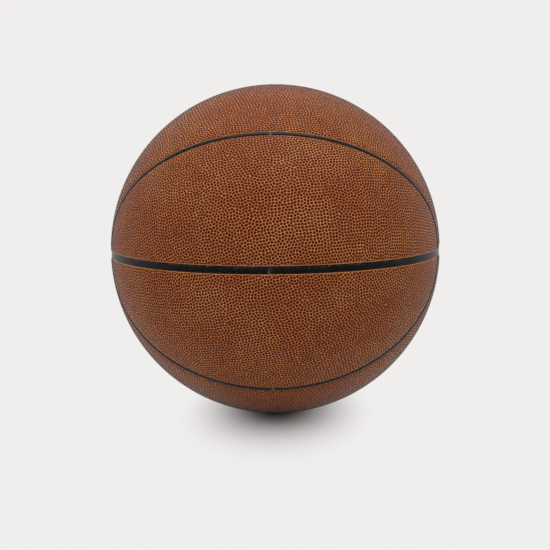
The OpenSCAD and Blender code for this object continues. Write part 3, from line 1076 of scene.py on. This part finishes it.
def leather_finish(cover):
    """Printed pebbled leather: a bare surface and a printed one, mixed by a dark spot on each pebble.

    The first map gives the place in a pebble's cell, from 0 in the middle to 1 on the line round it, and the
    pebble's random share. The second gives the distance from the panel's edge in millimetres. A spot ends
    at its share of the cell, a little uneven, and there are none in the margin. Between the pebbles the
    colour drifts from the leather's own to the pale one in flecks."""
    f = Finish("pebbled_leather")
    where = f.place()
    ratio, luck, _ = f.split(f.map("pebbles"))
    edge = f.split(f.map("edge"))[0]
    wobble = f.noise(where, 620.0, 1.0, 0.5)
    size = cover.dot_size * (0.97 + 0.06 * luck)
    inner = edge.step(0.5 * cover.margin / MM, 1.4 * cover.margin / MM)
    spot = ((ratio + (wobble - 0.5) * 0.10) / size).step(0.88, 1.12, 1.0, 0.0) * inner
    patches = f.noise(where, 26.0, 3.0, 0.55)
    grain = f.noise(where, 900.0, 2.0, 0.6)
    fleck = (patches * 0.6 + grain * 0.4).step(0.42, 0.62)
    net = f.blend(fleck, tone(cover.net), tone(cover.pale))
    dark = f.blend(luck, tone(cover.dot), shaded(tone(cover.dot), 0.85))
    uneven = (grain - 0.5) * 0.16
    bump = f.bump(grain, 0.00005, 0.5)
    bare = f.surface(Base_Color=net, Roughness=uneven + 0.5, Normal=bump, Specular_IOR_Level=0.12,
                     Sheen_Weight=0.60, Sheen_Roughness=0.30)
    printed = f.surface(Base_Color=dark, Roughness=uneven + 0.36, Normal=bump, Specular_IOR_Level=0.08,
                        Sheen_Weight=0.03, Sheen_Roughness=0.30)
    return f.done(f.node("MixShader", {}, {0: spot * 0.97, 1: bare, 2: printed}))


def rubber_finish(name, seams, grey_lift, gloss, tick):
    """Seam rubber, mixed toward the seams' dust colour by the sum of its marks, some of which are painted
    light.
    The map holds the distance from the strip's joint in millimetres and the share across.

    The marks are an even grey lift, none on the wide strip and on the narrow strips painted sheen for the
    light that their raised crown catches; a pale tick across the joint; short dashes along both edges,
    stronger along one, which on the wide strip is its upper edge, where they are dust and a painted highlight
    of the lip catching the light from above; fine specks and long scuffs all over, fuzz round the joint and a
    small curved nick beside it."""
    f = Finish(name)
    flat, where = f.map("strip"), f.place()
    along, across, _ = f.split(flat)
    streak = f.noise(f.stretch(flat, (0.22, 3.2, 1.0)), 1.0, 3.0, 0.6).step(0.58, 0.80)
    dashes = f.noise(f.stretch(flat, (0.8, 5.0, 1.0)), 1.0, 2.0, 0.6).step(0.56, 0.66)
    cluster = f.noise(f.stretch(flat, (0.09, 0.8, 1.0)), 1.0, 2.0, 0.5).step(0.40, 0.62)
    # Dashes along the edges: dust, and along the wide strip's upper edge partly a painted highlight where the
    # lip catches light from above
    lip = across.step(0.35, 0.62) * across.step(0.90, 1.0, 1.0, 0.0)
    low_lip = (-across).step(0.60, 0.80) * (-across).step(0.92, 1.0, 1.0, 0.0) * 0.5
    specks = f.noise(where, 1300.0, 2.0, 0.6).step(0.62, 0.70)
    cloud = f.noise(where, 90.0, 2.0, 0.5).step(0.42, 0.70)
    away = abs(along)
    fuzz = away.step(0.3, 3.2, 1.0, 0.0) * f.noise(where, 1500.0, 2.0, 0.6).step(0.46, 0.62)
    mark = away.step(0.25, 0.75, tick, 0.0)
    nick = ((along + 0.2) ** 2.0 + (across * 2.4 + 0.9) ** 2.0) ** 0.5
    nick = nick.step(0.62, 0.80) * nick.step(0.86, 1.04, 1.0, 0.0) * along.step(-0.5, -0.2, 1.0, 0.0)
    dust_and_sheen = (dashes * (lip + low_lip) * cluster).most(nick * 0.8)
    # The even lift added here is painted sheen on the narrow strips; the wide strip has none
    dust_and_sheen = (dust_and_sheen + streak * 0.06 + specks * cloud * 0.4 + fuzz * 0.25 + mark + grey_lift).least(1.0)
    grain = f.noise(where, 2600.0, 2.0, 0.6)
    colour_out = f.blend(dust_and_sheen, tone(seams.rubber), tone(seams.dust_and_sheen))
    rough = 0.32 + dust_and_sheen * 0.40 + (grain - 0.5) * 0.2
    return f.done(Base_Color=colour_out, Roughness=rough, Normal=f.bump(grain, 0.00004, 0.6),
                  Specular_IOR_Level=gloss, Sheen_Weight=0.30, Sheen_Roughness=0.12)


def moulded_finish(name, base, rough, cloud, scale=1.0):
    """Moulded rubber: fine grain, a faint cloudy bloom, and talc specks where the bloom lies."""
    f = Finish(name)
    where = f.place()
    grain = f.noise(where, 1400.0 * scale, 3.0, 0.6)
    grey_lift = f.noise(where, 70.0 * scale, 3.0, 0.55).step(0.40, 0.72)
    talc = f.noise(where, 900.0 * scale, 2.0, 0.6).step(0.60, 0.72) * grey_lift
    colour_out = f.blend((grey_lift * cloud + talc * 0.35).least(1.0), base, shaded(base, 0.55, 0.16))
    return f.done(Base_Color=colour_out, Roughness=rough + (grain - 0.5) * 0.2 + grey_lift * 0.08,
                  Normal=f.bump(grain, 0.00008, 0.6), Specular_IOR_Level=0.4)


def foam_finish(inside):
    """Soft open-celled backing: round cells of two sizes, darker toward their middles as painted shade in the
    hollow cells.
    """
    f = Finish("backing_foam")
    where = f.place()
    small, large = f.cells(where, 1500.0, 0.4), f.cells(where, 520.0, 0.3)
    hollow = (1.0 - small * 1.3) * 0.6 + (1.0 - large * 1.3) * 0.4
    patch = f.noise(where, 60.0, 2.0, 0.5)
    base = tone(inside.foam)
    # Darkening toward the cells' middles is painted shade in their hollows
    colour_out = f.blend((hollow * 0.6 + patch * 0.3).least(1.0), base, shaded(base, 0.52))
    return f.done(Base_Color=colour_out, Roughness=0.92, Normal=f.bump(hollow, 0.0002, 0.8),
                  Specular_IOR_Level=0.2)


def thread_finish(inside):
    """Twisted thread: slanting plies along it and a slow drift from pale to tan."""
    f = Finish("winding_thread")
    flat, where = f.map("thread"), f.place()
    along, across, _ = f.split(flat)
    ply = (along * 9.0 + across * 2.6).sine() * 0.5 + 0.5
    drift = f.noise(where, 45.0, 2.0, 0.5)
    tan = tuple(c * k for c, k in zip(tone(inside.thread), (0.62, 0.52, 0.36)))
    colour_out = f.blend(ply * 0.35 + drift * 0.45, tone(inside.thread), tan)
    return f.done(Base_Color=colour_out, Roughness=0.7 - ply * 0.12, Normal=f.bump(ply, 0.00005, 0.7),
                  Specular_IOR_Level=0.35)


def patch_finish(inside):
    """Reinforcing patch: rubber pressed on a plain woven cloth, whose threads show through as the product of
    two sine waves, one across the ball and one square to it over the patch."""
    f = Finish("reinforced_patch")
    where = f.place()
    x, y, z = f.split(where)
    threads = 5200.0
    weave = (x * threads).sine() * ((z * 0.92 - y * 0.39) * threads).sine() * 0.5 + 0.5
    grain = f.noise(where, 1100.0, 2.0, 0.6)
    base = tone(inside.patch)
    colour_out = f.blend(weave * 0.3 + grain * 0.3, base, shaded(base, 1.5, 0.02))
    return f.done(Base_Color=colour_out, Roughness=0.66 + (grain - 0.5) * 0.2,
                  Normal=f.bump(weave * 0.7 + grain * 0.3, 0.00012, 0.7), Specular_IOR_Level=0.35)


# Stage

FLOOR_HALF = 3.0                  # half the floor's width
SENSOR_WIDTH = 36.0               # width of the camera's sensor in millimetres
LENS_SHIFT = (-0.0005, -0.048)    # shift of the lens across and up, as shares of the picture's width
LAMP_DISTANCE = 1.3               # distance of the lamps from the ball's centre
LAMPS = [                         # name, direction from the ball, width and height in metres, watts
    ("overhead", (0.0, -0.15, 1.0), (1.1, 1.1), 9.0),
    ("left_box", (-0.62, -0.62, 0.60), (0.5, 0.6), 2.6),
    ("right_box", (0.70, -0.48, 0.64), (0.5, 0.6), 2.0),
]


def area_lamp(name, direction, size, power):
    """Soft rectangular lamp that faces the ball's centre."""
    lamp = bpy.data.lights.new(name, "AREA")
    lamp.shape, lamp.energy = "RECTANGLE", power
    lamp.size, lamp.size_y = size
    made = bpy.data.objects.new(name, lamp)
    bpy.context.scene.collection.objects.link(made)
    way = Vector(direction).normalized()
    made.location = way * LAMP_DISTANCE
    made.rotation_euler = way.to_track_quat("Z", "Y").to_euler()


def studio_world(pale):
    """World in the backdrop's colour for camera rays. It lights matt surfaces in an even grey, and what a
    glossy surface reflects rises from black in front of the ball to the backdrop's colour behind it."""
    world = bpy.data.worlds.new("studio")
    f = Finish("studio", world)
    camera, glossy, through = f.rays()
    across, behind, _ = f.split(f.node("TexCoord", output="Generated"))
    behind = (behind + abs(across) * 0.5).step(-0.30, 0.60)
    shine = f.blend(behind, (0, 0, 0), pale)
    soft = f.blend(glossy, (0.40, 0.40, 0.41), shine)
    sky = f.node("Background", {}, {"Color": f.blend(camera.most(through), soft, pale), "Strength": 1.0})
    f.node("OutputWorld", {}, {"Surface": sky})
    return world


def floor_piece(pale):
    """Floor, matt under the ball so that it takes the shadow. Toward an ellipse that reaches 75 mm to each
    side and 154 mm forward and back it turns to a glow in the backdrop's colour, so that no edge shows."""
    size, low = FLOOR_HALF, -COVER_R
    corners = np.array([[-size, -size, low], [size, -size, low], [size, size, low], [-size, size, low]])
    floor = make_piece("floor", corners, np.array([[0, 1, 2], [0, 2, 3]]))
    f = Finish("floor")
    camera, glossy, through = f.rays()
    far = f.node("VectorMath", {"operation": "LENGTH"}, {0: f.stretch(f.place(), (13.3, 6.5, 0))}, "Value")
    bare = camera.most(glossy).most(through) * far.step(0.1, 1.0)
    glow = f.node("Emission", {}, {"Color": (*pale, 1), "Strength": 1.0})
    matt = f.node("BsdfDiffuse", {}, {"Color": (0.80, 0.83, 0.84, 1)})
    floor.data.materials.append(f.done(f.node("MixShader", {}, {0: bare, 1: matt, 2: glow})))
    return floor


def camera_piece(stage):
    """Camera turned to the ball's centre from its distance, azimuth and elevation, its top leant over."""
    lens = bpy.data.cameras.new("camera")
    lens.lens, lens.sensor_width = stage.lens, SENSOR_WIDTH
    lens.shift_x, lens.shift_y = LENS_SHIFT
    camera = bpy.data.objects.new("camera", lens)
    bpy.context.scene.collection.objects.link(camera)
    turn, lift, lean = stage.azimuth, stage.elevation, stage.lean
    way = Vector((math.sin(turn) * math.cos(lift), -math.cos(turn) * math.cos(lift), math.sin(lift)))
    right = way.cross(Vector((0, 0, 1))).normalized() * -1
    above = way.cross(right)
    top = above * math.cos(lean) + right * math.sin(lean)
    across = right * math.cos(lean) - above * math.sin(lean)
    facing = Matrix((across, top, way)).transposed().to_4x4()
    camera.matrix_world = Matrix.Translation(way * stage.distance) @ facing
    return camera


class BALL_OT_cover(bpy.types.Operator):
    """Build the eight pebbled leather panels"""
    bl_idname = "ball.cover"
    bl_label = "Cover panels"

    def execute(self, context):
        cover, seams = context.scene.ball_cover, context.scene.ball_seams
        finish = leather_finish(cover)
        for order, node in enumerate(LEATHER):
            place(leather_panel(node, order, cover, seams), "ball", [node], finish)
        return {"FINISHED"}


class BALL_OT_seams(bpy.types.Operator):
    """Build the seven rubber seam strips"""
    bl_idname = "ball.seams"
    bl_label = "Seam strips"

    def execute(self, context):
        seams = context.scene.ball_seams
        wide = rubber_finish("wide_rubber", seams, grey_lift=0.0, gloss=0.12, tick=0.04)
        # The narrow strips' even lift toward the dust colour is painted sheen for the light their raised
        # crown catches
        narrow = rubber_finish("narrow_rubber", seams, grey_lift=0.015, gloss=0.18, tick=0.45)
        for order, node in enumerate(STRIPS):
            rows, half, closed, joint = seam_line(node, seams)
            points, triangles, flat = strip_piece(rows, half, seams, order, closed, joint)
            front, up = (-1 if "back" in node else 1), (-1 if "lower" in node else 1)
            points, triangles = mirrored(points, triangles, front, up)
            name = node.replace("_strip", "_rubber")
            piece = make_piece(name, points, triangles, {"strip": flat}, sharp=40)
            place(piece, "ball", [node], wide if closed else narrow)
        return {"FINISHED"}


class BALL_OT_valve(bpy.types.Operator):
    """Build the valve housing and its plug"""
    bl_idname = "ball.valve"
    bl_label = "Valve"

    def execute(self, context):
        inside = context.scene.ball_inside
        housing, plug = valve_pieces(inside)
        place(housing, "ball", ["valve_housing"],
              moulded_finish("valve_rubber", tone(inside.valve), rough=0.5, cloud=0.15, scale=2.0))
        place(plug, "plug", ["valve_plug"],
              moulded_finish("plug_rubber", tone(inside.plug), rough=0.45, cloud=0.2, scale=2.0))
        return {"FINISHED"}


class BALL_OT_backings(bpy.types.Operator):
    """Build the eight soft backings under the leather"""
    bl_idname = "ball.backings"
    bl_label = "Backings"

    def execute(self, context):
        inside, seams = context.scene.ball_inside, context.scene.ball_seams
        finish = foam_finish(inside)
        for panel in LEATHER:
            node = panel.replace("_panel", "_backing")
            place(backing_sheet(node, inside, seams), "ball", [node], finish)
        return {"FINISHED"}


class BALL_OT_winding(bpy.types.Operator):
    """Wind the thread and build the bladder under it"""
    bl_idname = "ball.winding"
    bl_label = "Winding and bladder"

    def execute(self, context):
        inside = context.scene.ball_inside
        place(thread_piece(inside), "ball", ["thread_winding"], thread_finish(inside))
        place(bladder_piece(inside), "ball", ["bladder"],
              moulded_finish("bladder_rubber", tone(inside.bladder), rough=0.42, cloud=0.3))
        return {"FINISHED"}


class BALL_OT_kept(bpy.types.Operator):
    """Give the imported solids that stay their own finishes"""
    bl_idname = "ball.kept"
    bl_label = "Kept solids"

    def execute(self, context):
        inside = context.scene.ball_inside
        carcass, weight = tone(inside.carcass), tone(inside.weight)
        finishes = {
            "carcass": moulded_finish("carcass_rubber", carcass, rough=0.62, cloud=0.35),
            "valve_patch": patch_finish(inside),
            "balance_weight": moulded_finish("weight_rubber", weight, rough=0.6, cloud=0.4, scale=0.7),
        }
        for node, finish in finishes.items():
            for slot in frame["nodes"][node].material_slots:
                slot.material = finish
        return {"FINISHED"}


class BALL_OT_stage(bpy.types.Operator):
    """Set up the floor, the soft light and the camera"""
    bl_idname = "ball.stage"
    bl_label = "Stage"

    def execute(self, context):
        stage, scene = context.scene.ball_stage, context.scene
        pale = tone(stage.backdrop)
        scene.view_settings.view_transform = "Standard"
        scene.world = studio_world(pale)
        floor = floor_piece(pale)
        for lamp in LAMPS:
            area_lamp(*lamp)
        scene.camera = camera_piece(stage)
        return {"FINISHED"}


class BALL_PT_panel(bpy.types.Panel):
    """Sidebar panel with every size and colour, and a button for each operator"""
    bl_label = "Basketball"
    bl_idname = "BALL_PT_panel"
    bl_space_type = "VIEW_3D"
    bl_region_type = "UI"
    bl_category = "Ball"

    def draw(self, context):
        for group in GROUPS:
            values = getattr(context.scene, group)
            box = self.layout.box()
            for key in values.__annotations__:
                box.prop(values, key)
        for operator in OPERATORS:
            self.layout.operator(operator.bl_idname)


GROUPS = {"ball_cover": BallCover, "ball_seams": BallSeams, "ball_inside": BallInside,
          "ball_stage": BallStage}
OPERATORS = [BALL_OT_cover, BALL_OT_seams, BALL_OT_valve, BALL_OT_backings, BALL_OT_winding, BALL_OT_kept,
             BALL_OT_stage]


def register():
    for name, group in GROUPS.items():
        bpy.utils.register_class(group)
        setattr(bpy.types.Scene, name, bpy.props.PointerProperty(type=group))
    for item in [*OPERATORS, BALL_PT_panel]:
        bpy.utils.register_class(item)


def unregister():
    for item in reversed([*OPERATORS, BALL_PT_panel]):
        bpy.utils.unregister_class(item)
    for name, group in reversed(GROUPS.items()):
        delattr(bpy.types.Scene, name)
        bpy.utils.unregister_class(group)


def main():
    register()
    bpy.ops.ball.cover()
    bpy.ops.ball.seams()
    bpy.ops.ball.valve()
    bpy.ops.ball.backings()
    bpy.ops.ball.winding()
    bpy.ops.ball.kept()
    bpy.ops.ball.stage()


if __name__ == "__main__":
    main()
